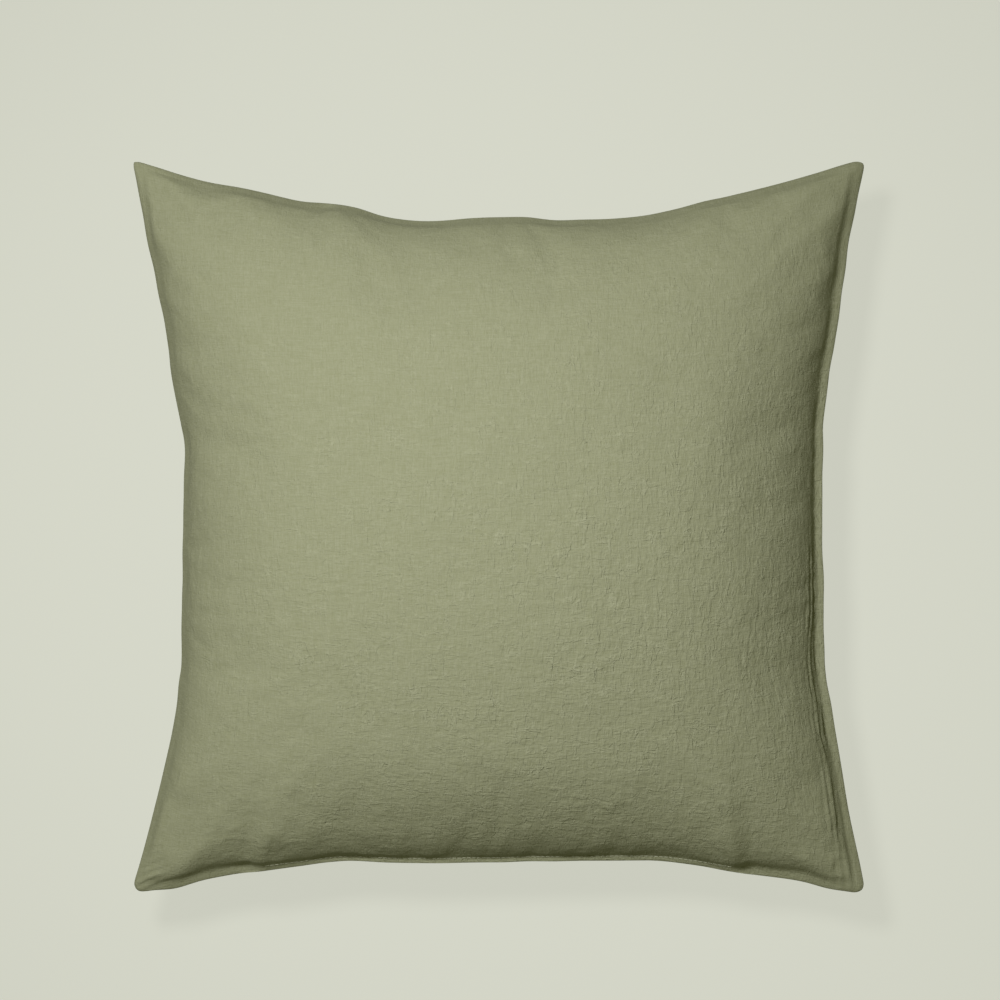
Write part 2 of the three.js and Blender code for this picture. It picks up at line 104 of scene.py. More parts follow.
class CushionSizes(bpy.types.PropertyGroup):
    """Sizes of the cloth and its seams"""

    cut: FloatProperty(
        name="Panel cut", description="Side of each square linen panel between its seams, laid flat",
        default=0.5, unit="LENGTH",
    )
    insert_cut: FloatProperty(
        name="Insert cut", description="Side of each cotton panel of the insert, laid flat",
        default=0.472, unit="LENGTH",
    )
    belly: FloatProperty(
        name="Belly", description="How far the back panel would hang below the seam with no floor under it",
        default=0.086, unit="LENGTH",
    )
    lip: FloatProperty(
        name="Seam lip", description="Width of the flat ridge that the seam makes round the cushion",
        default=0.006, unit="LENGTH",
    )
    zip_lip: FloatProperty(
        name="Lip at the zip", description="Width of the ridge along the folded edges beside the zip",
        default=0.0037, unit="LENGTH",
    )
    slot_runout: FloatProperty(
        name="Slot run-out", description="Length over which the zip's slot closes to the plain seam",
        default=0.016, unit="LENGTH",
    )
    cells: IntProperty(
        name="Cloth cells", description="Cells across each panel in the cloth simulation", default=142,
    )
    ease: FloatProperty(
        name="Cloth ease", description="Share by which the cloth is larger than the shape it is filled to",
        default=0.014,
    )
    pressure: FloatProperty(
        name="Filling pressure", description="Pressure of the filling on the cloth", default=6.0,
    )
    crinkle: FloatProperty(
        name="Crinkle", description="Height of the crinkles that washing leaves in the linen",
        default=0.00022, unit="LENGTH",
    )


class CushionColours(bpy.types.PropertyGroup):
    """Colours of the cloth, the threads and the zip"""

    linen_light: FloatVectorProperty(
        name="Linen, light threads", description="Colour of the paler threads", subtype="COLOR", size=3,
        default=(0.366, 0.376, 0.258),
    )
    linen_dark: FloatVectorProperty(
        name="Linen, dark threads", description="Colour of the deeper threads", subtype="COLOR", size=3,
        default=(0.292, 0.302, 0.182),
    )
    thread: FloatVectorProperty(
        name="Sewing thread", description="Colour of the cover's thread", subtype="COLOR", size=3,
        default=(0.235, 0.247, 0.145),
    )
    zip_tape: FloatVectorProperty(
        name="Zip tape", description="Colour of the woven tapes", subtype="COLOR", size=3,
        default=(0.20, 0.21, 0.12),
    )
    zip_coil: FloatVectorProperty(
        name="Zip coil", description="Colour of the nylon coils", subtype="COLOR", size=3,
        default=(0.17, 0.18, 0.10),
    )
    zip_metal: FloatVectorProperty(
        name="Zip metal", description="Colour of the lacquered slider, tab and stops", subtype="COLOR",
        size=3, default=(0.22, 0.23, 0.15),
    )
    cotton: FloatVectorProperty(
        name="Insert cotton", description="Colour of the insert's casing", subtype="COLOR", size=3,
        default=(0.80, 0.78, 0.72),
    )
    floor: FloatVectorProperty(
        name="Floor", description="Colour of the floor", subtype="COLOR", size=3,
        default=(0.682, 0.694, 0.600),
    )


# ---- Outline and crown ----
# Of each side: how far its middle is drawn in, the share of each half that stays straight, how each half's
# curve then eases out to its tip, and the middle, reach and height of its swells. Left and right run from
# the zip's side up, top and bottom from the left.
SIDES = {
    "right": {"waist": 0.0268, "straight": (0.38, 0.27), "ease": (1.15, 1.30)},
    "left": {"waist": 0.0319, "straight": (0.40, 0.25), "ease": (1.15, 1.20)},
    "top": {
        "waist": 0.0380, "straight": (0.22, 0.25), "ease": (1.40, 1.50),
        "swells": ((-0.42, 0.10, 0.0040), (0.24, 0.12, 0.0020)),
    },
    "bottom": {
        "waist": 0.0206, "straight": (0.42, 0.42), "ease": (1.25, 1.25),
        "swells": ((-0.90, 0.06, 0.0028), (0.93, 0.06, 0.0018)),
    },
}

# Blunt tips: side, end and radius in metres.
TIPS = ((1, 1, 0.0026), (-1, -1, 0.0065), (1, -1, 0.0050))


def hump(value, middle, reach):
    """1 at the middle, falling away evenly on both sides."""
    return np.exp(-(((value - middle) / reach) ** 2))


def smooth_step(value):
    """0 up to 0, 1 from 1 on, with a soft start and end."""
    value = np.clip(value, 0, 1)
    return value * value * (3 - 2 * value)


def drawn_in(along, side):
    """How far a side is drawn in at the places along it, from -1 to 1."""
    shape = SIDES[side]
    low, high = shape["straight"]
    low_ease, high_ease = shape["ease"]
    first = (np.clip(-along - low, 0, None) / (1 - low)) ** low_ease
    second = (np.clip(along - high, 0, None) / (1 - high)) ** high_ease
    drawn = shape["waist"] * (1 - np.where(along < 0, first, second))
    for place, reach, out in shape.get("swells", ()):
        drawn = drawn - out * hump(along, place, reach)
    return drawn


def slot_open(across, runout):
    """1 beside the zip, 0 past the ends of its slot. across is in metres from the middle."""
    return smooth_step((SLOT_TIP + runout - np.abs(across)) / runout)


def lattice(column, row, seed):
    """A repeatable value from -1 to 1 for each point of a lattice."""
    mixed = np.sin(column * 127.1 + row * 311.7 + seed * 74.7) * 43758.5453
    return 2 * (mixed - np.floor(mixed)) - 1


def soft_noise(x, y, seed):
    """Smooth noise from -1 to 1 with features about one unit across."""
    column, row = np.floor(x), np.floor(y)
    right, up = smooth_step(x - column), smooth_step(y - row)
    low = lattice(column, row, seed) * (1 - right) + lattice(column + 1, row, seed) * right
    high = lattice(column, row + 1, seed) * (1 - right) + lattice(column + 1, row + 1, seed) * right
    return low * (1 - up) + high * up


def line_noise(along, wave, seed):
    """Smooth noise along one line, with features about one wave long."""
    return soft_noise(along / wave, along * 0, seed)


def arc_places(places, reach, rise):
    """Turns even places along a crowned arc, from -1 to 1, into places across it."""
    turn = np.linspace(0, math.pi / 2, 400)
    across, up = np.sin(turn), np.cos(turn)
    steps = np.hypot(np.diff(across) * reach, np.diff(up) * rise)
    length = np.concatenate([[0], np.cumsum(steps)])
    return np.sign(places) * np.interp(np.abs(places) * length[-1], length, across)


class Panel:
    """One square of linen on a grid, filled: the front panel with facing 1, the back panel with -1."""

    RINGS = 2  # grid rings that make the seam's lip

    def __init__(self, sizes, facing):
        self.sizes = sizes
        self.facing = facing
        self.count = sizes.cells + 1
        half, lip = sizes.cut / 2, sizes.lip
        inner = np.linspace(lip - half, half - lip, self.count - 2 * self.RINGS)
        self.flat = np.concatenate([[-half, lip / 2 - half], inner, [half - lip / 2, half]])
        # Share of the lip's width that each grid line stands out past the crowned part.
        self.out = np.zeros(self.count)
        self.out[[0, -1]] = 1
        self.out[[1, -2]] = 0.5
        self.side = np.sign(self.flat)
        self.place = np.clip(self.flat / (half - lip), -1, 1)

    def shape(self):
        """The filled panel before the cloth settles, as an array of points."""
        sizes = self.sizes
        s, t = self.grid()
        rise = (CROWN if self.facing > 0 else sizes.belly) * UNSETTLED
        u = s + (arc_places(s, HALF_WIDTH - ARC_INSET, rise) - s) * (1 - t**2)
        v = t + (arc_places(t, HALF_DEPTH - ARC_INSET, rise) - t) * (1 - s**2)
        opened = slot_open(u * HALF_WIDTH, sizes.slot_runout)
        out_x, out_y = np.meshgrid(self.out * self.side, self.out * self.side, indexing="ij")
        lip_y = np.where(v < 0, sizes.lip + (sizes.zip_lip - sizes.lip) * opened, sizes.lip)
        waist_x = np.where(u > 0, drawn_in(v, "right"), drawn_in(v, "left"))
        waist_y = np.where(v > 0, drawn_in(u, "top"), drawn_in(u, "bottom"))
        wider = 0.2 * (u > 0) * hump(v, -0.42, 0.25)  # low on the right side
        lip_x = sizes.lip * (1 + wider - NARROW_LIP * (u < 0))
        lip_y = lip_y - NARROW_LIP * sizes.lip * (v > 0)
        x = u * (HALF_WIDTH - lip_x - waist_x) + out_x * lip_x
        y = v * (HALF_DEPTH - lip_y - waist_y) + out_y * lip_y
        x, y = self.rounded_tips(x, y)
        bulge = np.sqrt(np.clip((1 - u * u) * (1 - v * v), 0, None))
        lift = FOLD * opened * np.clip(1 - (v + 1) / 0.4, 0, 1)
        seam_x, seam_y = self.seam_wander(x, y)
        edge = np.maximum(np.abs(s), np.abs(t)) ** 6
        x = x + seam_x * edge
        y = y + seam_y * edge * (1 - 0.5 * opened * (v < 0))
        edge_height = self.lip_height(x, y, opened * (v < 0))
        height = lift + edge_height + (rise - edge_height) * bulge
        return np.stack([x, y, SEAM + self.facing * height], -1)

    @staticmethod
    def rounded_tips(x, y):
        """Draws the outermost points of the blunter tips in to an arc."""
        for side, end, radius in TIPS:
            centre_x, centre_y = side * (HALF_WIDTH - radius), end * (HALF_DEPTH - radius)
            off_x, off_y = x - centre_x, y - centre_y
            reach = np.hypot(off_x, off_y)
            beyond = (off_x * side > 0) & (off_y * end > 0) & (reach > radius)
            share = np.where(beyond, radius / np.maximum(reach, 1e-9), 1)
            x, y = centre_x + off_x * share, centre_y + off_y * share
        return x, y

    def grid(self):
        """Each grid point's place across the panel, from -1 to 1."""
        return np.meshgrid(self.place, self.place, indexing="ij")

    @staticmethod
    def seam_wander(x, y):
        """How the sewn edge wanders from its fair curve, in long and in short waves."""
        upright = 0.0016 * line_noise(y, 0.048, 11 + (x > 0)) + 0.0006 * line_noise(y, 0.017, 13)
        level = 0.0022 * line_noise(x, 0.052, 21 + (y > 0)) + 0.0007 * line_noise(x, 0.019, 23)
        return upright * (1 - np.abs(y / HALF_DEPTH) ** 8), level * (1 - np.abs(x / HALF_WIDTH) ** 8)

    @staticmethod
    def gentle(x, y):
        """1 where the cloth rises evenly from its edge, 0 where a valley marks off the seam's lip."""
        toward = (y / HALF_DEPTH - x / HALF_WIDTH) / 2
        return smooth_step(toward / 0.25 + 0.5)

    def lip_height(self, x, y, at_zip):
        """Height of the lip's edge, crest and valley over the fold's underside.

        Along the right side and at the zip side's ends the lip rolls over with no valley behind it.
        """
        ring = np.maximum(*np.meshgrid(self.out, self.out, indexing="ij"))
        along = np.where(np.abs(x) > np.abs(y), y, x)
        pucker = line_noise(along, 0.012, 31) * 0.0005 + line_noise(along, 0.03, 33) * 0.0006
        low_ends = smooth_step(5 * np.abs(x) / HALF_WIDTH - 2.2) * smooth_step(-4 * y / HALF_DEPTH - 2.6)
        rolled = np.maximum(smooth_step(4 * x / HALF_WIDTH - 2.6), low_ends)
        crest = LIP_CREST + pucker + 0.0004 * rolled
        along_side = np.minimum(*np.abs(self.grid()))
        gentle = self.gentle(x, y) * (1 - along_side**4)
        valley = LIP_VALLEY + 0.0021 * rolled + 0.0088 * gentle
        height = np.where(ring == 1, LIP_EDGE, np.where(ring > 0, crest + 0.0040 * gentle, valley))
        return height + 0.0010 * at_zip * (ring == 0) * (np.maximum(*np.abs(self.grid())) >= 0.999)

    def pinned(self):
        """Grid points that the stitching holds: the lip and the valley beside it."""
        held = np.ones((self.count, self.count), bool)
        free = slice(self.RINGS + 1, -self.RINGS - 1)
        held[free, free] = False
        return held


def blurred(points, reach):
    """The grid's points averaged over a square of cells, with its border kept."""
    padded = np.pad(points, ((reach, reach), (reach, reach), (0, 0)), mode="reflect", reflect_type="odd")
    sums = np.cumsum(np.cumsum(np.pad(padded, ((1, 0), (1, 0), (0, 0))), 0), 1)
    width = 2 * reach + 1
    total = sums[width:, width:] - sums[:-width, width:] - sums[width:, :-width] + sums[:-width, :-width]
    return total / width**2


def grid_faces(columns, rows, start=0):
    """The four-sided faces of a grid whose points are numbered from start."""
    index = start + np.arange(columns * rows).reshape(columns, rows)
    return np.stack([index[:-1, :-1], index[1:, :-1], index[1:, 1:], index[:-1, 1:]], -1).reshape(-1, 4)


# How the linen behaves while it settles, set on the cloth in this order.
LINEN_BEHAVIOUR = {
    "quality": 5,
    "mass": 0.2,
    "tension_stiffness": 25,
    "compression_stiffness": 25,
    "shear_stiffness": 4,
    "bending_stiffness": 0.5,
    "tension_damping": 15,
    "compression_damping": 15,
    "shear_damping": 10,
    "bending_damping": 0.5,
    "air_damping": 3,
    "use_pressure": True,
    "vertex_group_mass": "stitched",
}


def settle(panels, sizes):
    """Lets the cloth of both panels settle under the filling's pressure. Returns a shape for each panel."""
    starts = [panel.shape() for panel in panels]
    count = panels[0].count
    points = np.concatenate([start.reshape(-1, 3) for start in starts])
    front = grid_faces(count, count)
    back = grid_faces(count, count, count * count)[:, ::-1]
    mesh = bpy.data.meshes.new("settling_cloth")
    mesh.from_pydata(points.tolist(), [], np.concatenate([front, back]).tolist())
    cloth = bpy.data.objects.new("settling_cloth", mesh)
    bpy.context.collection.objects.link(cloth)
    stitched = cloth.vertex_groups.new(name="stitched")
    held = np.concatenate([panel.pinned().ravel() for panel in panels])
    stitched.add(np.flatnonzero(held).tolist(), 1.0, "REPLACE")
    modifier = cloth.modifiers.new("Cloth", "CLOTH")
    linen = modifier.settings
    for key, value in LINEN_BEHAVIOUR.items():
        setattr(linen, key, value)
    linen.uniform_pressure_force = sizes.pressure
    linen.shrink_min = -sizes.ease
    linen.effector_weights.gravity = 0
    modifier.collision_settings.use_collision = False
    modifier.point_cache.frame_end = SETTLING_FRAMES
    for moment in range(1, SETTLING_FRAMES + 1):
        bpy.context.scene.frame_set(moment)
    settled = cloth.evaluated_get(bpy.context.evaluated_depsgraph_get()).to_mesh()
    moved = np.empty(len(points) * 3)
    settled.vertices.foreach_get("co", moved)
    bpy.data.objects.remove(cloth)
    bpy.context.scene.frame_set(1)
    return [
        eased(start, after)
        for start, after in zip(starts, moved.reshape(2, count, count, 3))
    ]


def eased(start, after):
    """Keeps part of how far the cloth settled: little of the overall swelling, more of the wrinkles."""
    swell = blurred(after - start, 6)
    wrinkle = after - start - swell
    return start + SWELL_KEPT * swell + WRINKLE_KEPT * np.clip(wrinkle, -WRINKLE_LIMIT, WRINKLE_LIMIT)


def above_floor(points):
    """Presses what would be below the floor flat on it."""
    z = points[..., 2]
    points[..., 2] = (z + np.sqrt(z * z + FLOOR_ROUNDING**2)) / 2
    return points


# ---- Meshes ----

def deselect_all():
    """Leaves edit mode and deselects every object."""
    if bpy.context.object and bpy.context.object.mode != "OBJECT":
        bpy.ops.object.mode_set(mode="OBJECT")
    bpy.ops.object.select_all(action="DESELECT")


def choose(piece):
    """Makes a piece the only selected and the active one."""
    deselect_all()
    piece.select_set(True)
    bpy.context.view_layer.objects.active = piece


def new_piece(name, points, faces, cut=None):
    """A mesh piece from points and faces. cut gives each point's place on the flat cloth, in metres."""
    mesh = bpy.data.meshes.new(name)
    mesh.from_pydata(np.asarray(points).tolist(), [], [list(map(int, face)) for face in faces])
    if cut is not None:
        layer = mesh.uv_layers.new(name="cut")
        layer.data.foreach_set("uv", np.asarray(cut)[corner_points(mesh)].ravel().astype(np.float32))
    piece = bpy.data.objects.new(name, mesh)
    bpy.context.collection.objects.link(piece)
    choose(piece)
    bpy.ops.object.shade_smooth()
    return piece


def apply_modifier(piece, kind, **values):
    """Adds a modifier with its values and applies it."""
    choose(piece)
    modifier = piece.modifiers.new(kind.title(), kind)
    for key, value in values.items():
        setattr(modifier, key, value)
    bpy.ops.object.modifier_apply(modifier=modifier.name)


def mesh_points(mesh):
    """A mesh's points as an array."""
    points = np.empty(len(mesh.vertices) * 3)
    mesh.vertices.foreach_get("co", points)
    return points.reshape(-1, 3)


def move_points(mesh, points):
    """Moves a mesh's points to new places."""
    mesh.vertices.foreach_set("co", points.ravel().astype(np.float32))
    mesh.update()


def mesh_normals(mesh):
    """The way that each of a mesh's points faces."""
    normals = np.empty(len(mesh.vertices) * 3, np.float32)
    mesh.vertex_normals.foreach_get("vector", normals)
    return normals.reshape(-1, 3)


def corner_points(mesh):
    """The point that each face corner lies on."""
    corners = np.empty(len(mesh.loops), int)
    mesh.loops.foreach_get("vertex_index", corners)
    return corners


def point_cuts(mesh):
    """Each point's place on the flat cloth."""
    corners = corner_points(mesh)
    places = np.empty(len(mesh.loops) * 2, np.float32)
    mesh.uv_layers["cut"].data.foreach_get("uv", places)
    cuts = np.zeros((len(mesh.vertices), 2))
    cuts[corners] = places.reshape(-1, 2)
    return cuts


def border_loop(count):
    """Grid places round the border, anticlockwise from one tip."""
    last = count - 1
    return (
        [(i, 0) for i in range(last)]
        + [(last, j) for j in range(last)]
        + [(i, last) for i in range(last, 0, -1)]
        + [(0, j) for j in range(last, 0, -1)]
    )


def edge_and_valley(panel, points):
    """The points of a panel's border, and beside each the nearest point of the valley inside the lip."""
    i, j = np.array(border_loop(panel.count)).T
    first, last = panel.RINGS, panel.count - 1 - panel.RINGS
    return points[i, j], points[np.clip(i, first, last), np.clip(j, first, last)]


# Rows of the turned-in cloth: how far in each lies as a share of the lip, its height over the seam or the
# fold's underside, and as a share how far it reaches toward the tape beside the zip.
TURNED_ROWS = ((-0.02, 0.0007, 0), (0.0, 0.0002, 0), (0.3, 0.0001, 0.3), (0.95, 0.0001, 1))
TAPE_CLEARANCE = 0.0003


def turned_in(panel, points, sizes):
    """The rows of points of a panel's seam allowance, from its edge inward."""
    edge, valley = edge_and_valley(panel, points)
    inward = valley - edge
    inward[:, 2] = 0
    at_zip = slot_open(edge[:, 0], sizes.slot_runout) * (edge[:, 1] < -HALF_DEPTH / 2)
    under = SEAM + panel.facing * FOLD * at_zip
    rows = []
    for share, off, reach in TURNED_ROWS:
        row = edge + inward * share * (1 - at_zip[:, None])
        row[:, 1] += (TAPE_LOW.y - TAPE_CLEARANCE - row[:, 1]) * at_zip * reach
        row[:, 2] = under + panel.facing * off
        rows.append(row)
    return rows


def merge_doubles(piece, flat_within=None):
    """Merges a piece's doubled points, and its faces that lie flat within an angle in degrees."""
    choose(piece)
    bpy.ops.object.mode_set(mode="EDIT")
    bpy.ops.mesh.select_all(action="SELECT")
    bpy.ops.mesh.remove_doubles(threshold=MERGE)
    if flat_within is not None:
        bpy.ops.mesh.dissolve_limited(angle_limit=math.radians(flat_within))
    bpy.ops.object.mode_set(mode="OBJECT")


def cloth_panel(name, panel, points, sizes):
    """A panel of the cover: the settled grid, and its seam allowance turned in under its edge."""
    count = panel.count
    cut = np.stack(np.meshgrid(panel.flat, panel.flat, indexing="ij"), -1).reshape(-1, 2)
    faces = grid_faces(count, count)
    border = np.array([i * count + j for i, j in border_loop(count)])
    turned = turned_in(panel, points, sizes)
    turned_cut = [cut[border] * (1 + 0.02 * (k + 1)) for k in range(len(turned))]
    all_points = np.concatenate([points.reshape(-1, 3), *turned])
    all_cut = np.concatenate([cut, *turned_cut])
    rings = [border]
    rings += [count * count + k * len(border) + np.arange(len(border)) for k in range(len(turned))]
    for outer, inner in zip(rings, rings[1:]):
        bands = np.stack([outer, inner, np.roll(inner, -1), np.roll(outer, -1)], -1)
        faces = np.concatenate([faces, bands])
    if panel.facing < 0:
        faces = faces[:, ::-1]
    piece = new_piece(name, all_points, faces, all_cut)
    apply_modifier(piece, "SUBSURF", levels=1, render_levels=1)
    return piece


def folds(x, y, half):
    """Longer folds: pleats low on the right, a hollow and puckers lower left, and a pinch at the top."""
    from_right, from_low, from_top, from_left = half - x, half + y, half - y, x + half
    wander = 2.2 * line_noise(y, 0.028, 55)
    pleats = np.sin(from_right * 2 * math.pi / PLEAT_PITCH + wander) * (0.7 + 0.5 * line_noise(y, 0.02, 57))
    beside = smooth_step((from_right + 0.004) / 0.004) * smooth_step((0.021 - from_right) / 0.012)
    low_part = smooth_step((0.03 - y) / 0.08)
    hollow = hump(from_low, 0.015, 0.0105) * hump(x, -0.165, 0.045)
    pucker = np.sin((from_low - 0.4 * from_left) * 2 * math.pi / PLEAT_PITCH)
    tip = hump(np.hypot(from_left, from_low), 0, 0.017)
    pinch = hump(from_top, 0, 0.022) * hump(x + 0.5 * from_top, -0.118, 0.006)
    return 0.00065 * pleats * beside * low_part - 0.0008 * hollow + 0.0008 * pucker * tip - 0.0012 * pinch


def crinkle(piece, height, clear_of_edge):
    """Presses the fine crinkles of washed linen into a panel, along its threads."""
    mesh = piece.data
    x, y = point_cuts(mesh).T
    patch = 0.55 + 0.45 * soft_noise(x / 0.045 + 3, y / 0.045, 41)
    lean = 0.75 + 0.5 * smooth_step((x - y) / 0.6 + 0.5)
    upright = soft_noise(x / 0.0042 + soft_noise(x / 0.02, y / 0.02, 43), y / 0.011, 45)
    level = soft_noise(x / 0.012, y / 0.0045 + soft_noise(x / 0.02, y / 0.02, 47), 49)
    ridges = hump(upright, 0, 0.28) + hump(level, 0, 0.28) - 0.6
    rolls = soft_noise(x / 0.028, y / 0.034, 51) + 0.5 * soft_noise(x / 0.015, y / 0.013, 53)
    from_edge = clear_of_edge - np.maximum(np.abs(x), np.abs(y))
    fade = smooth_step(from_edge / 0.008)
    shown = smooth_step((from_edge + 0.006) / 0.004)  # the turned-in cloth stays where it is
    lift = (height * ridges * patch * lean + 0.00045 * rolls) * fade + folds(x, y, clear_of_edge) * shown
    move_points(mesh, mesh_points(mesh) + mesh_normals(mesh) * lift[:, None])


# ---- Materials ----

class Nodes:
    """Shorthand for building a node tree."""

    def __init__(self, tree):
        self.tree = tree

    def add(self, kind, inputs=None, **values):
        """Adds a node with its properties, and its inputs as values or links."""
        node = self.tree.nodes.new(kind)
        for key, value in values.items():
            setattr(node, key, value)
        for key, value in (inputs or {}).items():
            self.set(node.inputs[key], value)
        return node

    def set(self, socket, value):
        if isinstance(value, bpy.types.NodeSocket):
            self.tree.links.new(value, socket)
        else:
            socket.default_value = value

    def math(self, operation, *values, clamp=False):
        node = self.tree.nodes.new("ShaderNodeMath")
        node.operation, node.use_clamp = operation, clamp
        for socket, value in zip(node.inputs, values):
            self.set(socket, value)
        return node.outputs[0]

    def mix_colour(self, factor, low, high):
        node = self.add("ShaderNodeMix", data_type="RGBA")
        self.set(node.inputs["Factor"], factor)
        self.set(node.inputs["A"], low)
        self.set(node.inputs["B"], high)
        return node.outputs["Result"]

    def object_place(self):
        return self.add("ShaderNodeTexCoord").outputs["Object"]

    def parts(self, vector):
        return self.add("ShaderNodeSeparateXYZ", {0: vector}).outputs

    def stretched(self, parts, across, along, layer):
        """A place whose X and Y are counted in two sizes, with its own layer of a pattern."""
        x, y = self.math("DIVIDE", parts["X"], across), self.math("DIVIDE", parts["Y"], along)
        return self.add("ShaderNodeCombineXYZ", {0: x, 1: y, 2: layer}).outputs[0]

    def scaled(self, vector, across, along):
        """The vector with its X and Y divided by two sizes in metres."""
        return self.add(
            "ShaderNodeMapping", {"Vector": vector, "Scale": (1 / across, 1 / along, 1)},
        ).outputs["Vector"]

    def smooth_range(self, value, low, high):
        """0 at low, 1 at high, with a soft start and end."""
        return self.add(
            "ShaderNodeMapRange", {"Value": value, "From Min": low, "From Max": high},
            interpolation_type="SMOOTHSTEP",
        ).outputs["Result"]

    def noise(self, vector, detail=2.0, distortion=0.0, scale=1.0):
        node = self.add(
            "ShaderNodeTexNoise",
            {"Vector": vector, "Scale": scale, "Detail": detail, "Distortion": distortion},
            noise_dimensions="3D",
        )
        return node.outputs["Fac"]


def new_group(name, inputs, outputs):
    """A shader node group with named sockets. Returns it, its node builder and its input node."""
    group = bpy.data.node_groups.new(name, "ShaderNodeTree")
    for label, kind, default in inputs:
        socket = group.interface.new_socket(label, in_out="INPUT", socket_type=kind)
        if default is not None:
            socket.default_value = default
    for label, kind in outputs:
        group.interface.new_socket(label, in_out="OUTPUT", socket_type=kind)
    build = Nodes(group)
    return group, build, build.add("NodeGroupInput").outputs, build.add("NodeGroupOutput").inputs


FLOAT, VECTOR = "NodeSocketFloat", "NodeSocketVector"


def slub_group():
    """Long thick places in the yarns of both directions, as a tone and a height."""
    group, build, given, out = new_group(
        "Slub yarn",
        [("Cloth place", VECTOR, None), ("Yarn width", FLOAT, 0.0007), ("Slub length", FLOAT, 0.012)],
        [("Tone", FLOAT), ("Height", FLOAT)],
    )
    parts = build.parts(given["Cloth place"])
    layer_step, contrast = 3.1, 1.6
    tones = []
    for first, second in (("Yarn width", "Slub length"), ("Slub length", "Yarn width")):
        place = build.stretched(parts, given[first], given[second], layer_step * len(tones))
        tones.append(build.noise(place, detail=1.0))
    total = build.math("ADD", *tones)
    centred = build.math("SUBTRACT", total, 1.0)
    build.set(out["Tone"], build.math("MULTIPLY_ADD", centred, contrast, 0.5, clamp=True))
    build.set(out["Height"], total)
    return group


def weave_group():
    """Plain weave: yarns that pass over and under each other."""
    group, build, given, out = new_group(
        "Plain weave",
        [("Cloth place", VECTOR, None), ("Yarn pitch", FLOAT, 0.0006)],
        [("Height", FLOAT)],
    )
    parts = build.parts(given["Cloth place"])
    waves = []
    for axis in "XY":
        turns = build.math("DIVIDE", parts[axis], given["Yarn pitch"])
        waves.append(build.math("SINE", build.math("MULTIPLY", turns, math.pi)))
    over = build.math("MULTIPLY", *waves)
    ribs = build.math("ADD", build.math("ABSOLUTE", waves[0]), build.math("ABSOLUTE", waves[1]))
    build.set(out["Height"], build.math("MULTIPLY_ADD", over, 0.5, build.math("MULTIPLY", ribs, 0.35)))
    return group


def crinkle_group():
    """Small raised creases left by washing, mostly along the two directions of the yarns, with a mask of
    their tops for a painted highlight.
    """
    group, build, given, out = new_group(
        "Washed creases",
        [
            ("Cloth place", VECTOR, None),
            ("Crease width", FLOAT, 0.0030),
            ("Crease length", FLOAT, 0.0082),
            ("Calm part", FLOAT, 0.24),
        ],
        [("Height", FLOAT), ("Painted crease highlight", FLOAT)],
    )
    parts = build.parts(given["Cloth place"])
    layer_step, sharp_height, broad_height, second_share = 5.3, 0.42, 0.5, 0.8
    ridges, tops = [], []
    for first, second in (("Crease width", "Crease length"), ("Crease length", "Crease width")):
        place = build.stretched(parts, given[first], given[second], layer_step * len(ridges))
        swell = build.noise(place, 1.4, 0.8)
        from_line = build.math("ABSOLUTE", build.math("SUBTRACT", swell, 0.5))
        line = build.smooth_range(from_line, 0.10, 0.0)
        breaks = build.noise(build.scaled(place, 2.2, 2.2), 1.0)
        sharp = build.math("MULTIPLY", line, build.smooth_range(breaks, 0.46, 0.62))
        broad = build.smooth_range(swell, 0.38, 0.74)
        # Painted highlight: the tops of the sharp creases, which the cloth is coloured paler on as if lit.
        tops.append(build.math("MULTIPLY", sharp, build.smooth_range(from_line, 0.05, 0.0)))
        rise = build.math("MULTIPLY", broad, broad_height)
        ridges.append(build.math("MULTIPLY_ADD", sharp, sharp_height, rise))
    total = build.math("ADD", ridges[0], build.math("MULTIPLY", ridges[1], second_share))
    share = crease_share(build, given["Cloth place"], parts, given["Calm part"])
    build.set(out["Height"], build.math("MULTIPLY", total, share))
    build.set(out["Painted crease highlight"], build.math("MULTIPLY", build.math("ADD", *tops), share, clamp=True))
    return group


def crease_share(build, place, parts, calm):
    """How creased each part of the cloth is: in patches, more to the lower right, less toward the edges."""
    patch_size = 0.035
    wide = build.noise(build.scaled(place, patch_size, patch_size), 1.0)
    patch = build.math("MULTIPLY_ADD", wide, 1.4, -0.30, clamp=True)
    lean = build.math("MULTIPLY_ADD", build.math("SUBTRACT", parts["X"], parts["Y"]), 1.6, 0.45, clamp=True)
    from_middle = build.add("ShaderNodeVectorMath", {0: place}, operation="LENGTH").outputs["Value"]
    toward_edge = build.math("MULTIPLY", build.math("MULTIPLY", from_middle, from_middle), -6.0)
    middle = build.math("MAXIMUM", build.math("ADD", toward_edge, 1.15), 0.4)
    patchy = build.math("MULTIPLY", build.math("ADD", patch, lean), build.math("MULTIPLY", middle, 0.5))
    return build.math("MAXIMUM", patchy, calm)


GROUPS = {}  # each group, kept under its maker after its first use


def use_group(build, maker, **inputs):
    """Places a shared group in a material with its own values. Returns the group's outputs."""
    if maker not in GROUPS:
        GROUPS[maker] = maker()
    node = build.add("ShaderNodeGroup")
    node.node_tree = GROUPS[maker]
    for key, value in inputs.items():
        build.set(node.inputs[key.replace("_", " ")], value)
    return node.outputs


def new_material(name, **sockets):
    """A material with values on its shader. Returns it, its node builder and its shader."""
    material = bpy.data.materials.new(name)
    material.use_nodes = True
    build = Nodes(material.node_tree)
    shader = material.node_tree.nodes["Principled BSDF"]
    for key, value in sockets.items():
        shader.inputs[key.replace("_", " ")].default_value = value
    return material, build, shader


def bumps(build, shader, *layers):
    """Chains a bump for each (height, distance in metres, strength) into the shader's normal."""
    normal = None
    for height, distance, strength in layers:
        inputs = {"Height": height, "Distance": distance, "Strength": strength}
        if normal is not None:
            inputs["Normal"] = normal
        normal = build.add("ShaderNodeBump", inputs).outputs["Normal"]
    build.set(shader.inputs["Normal"], normal)


def tint(colour, share=1.0):
    """A colour made darker or paler by a share, with its alpha."""
    return (*(min(1.0, share * part) for part in colour), 1.0)


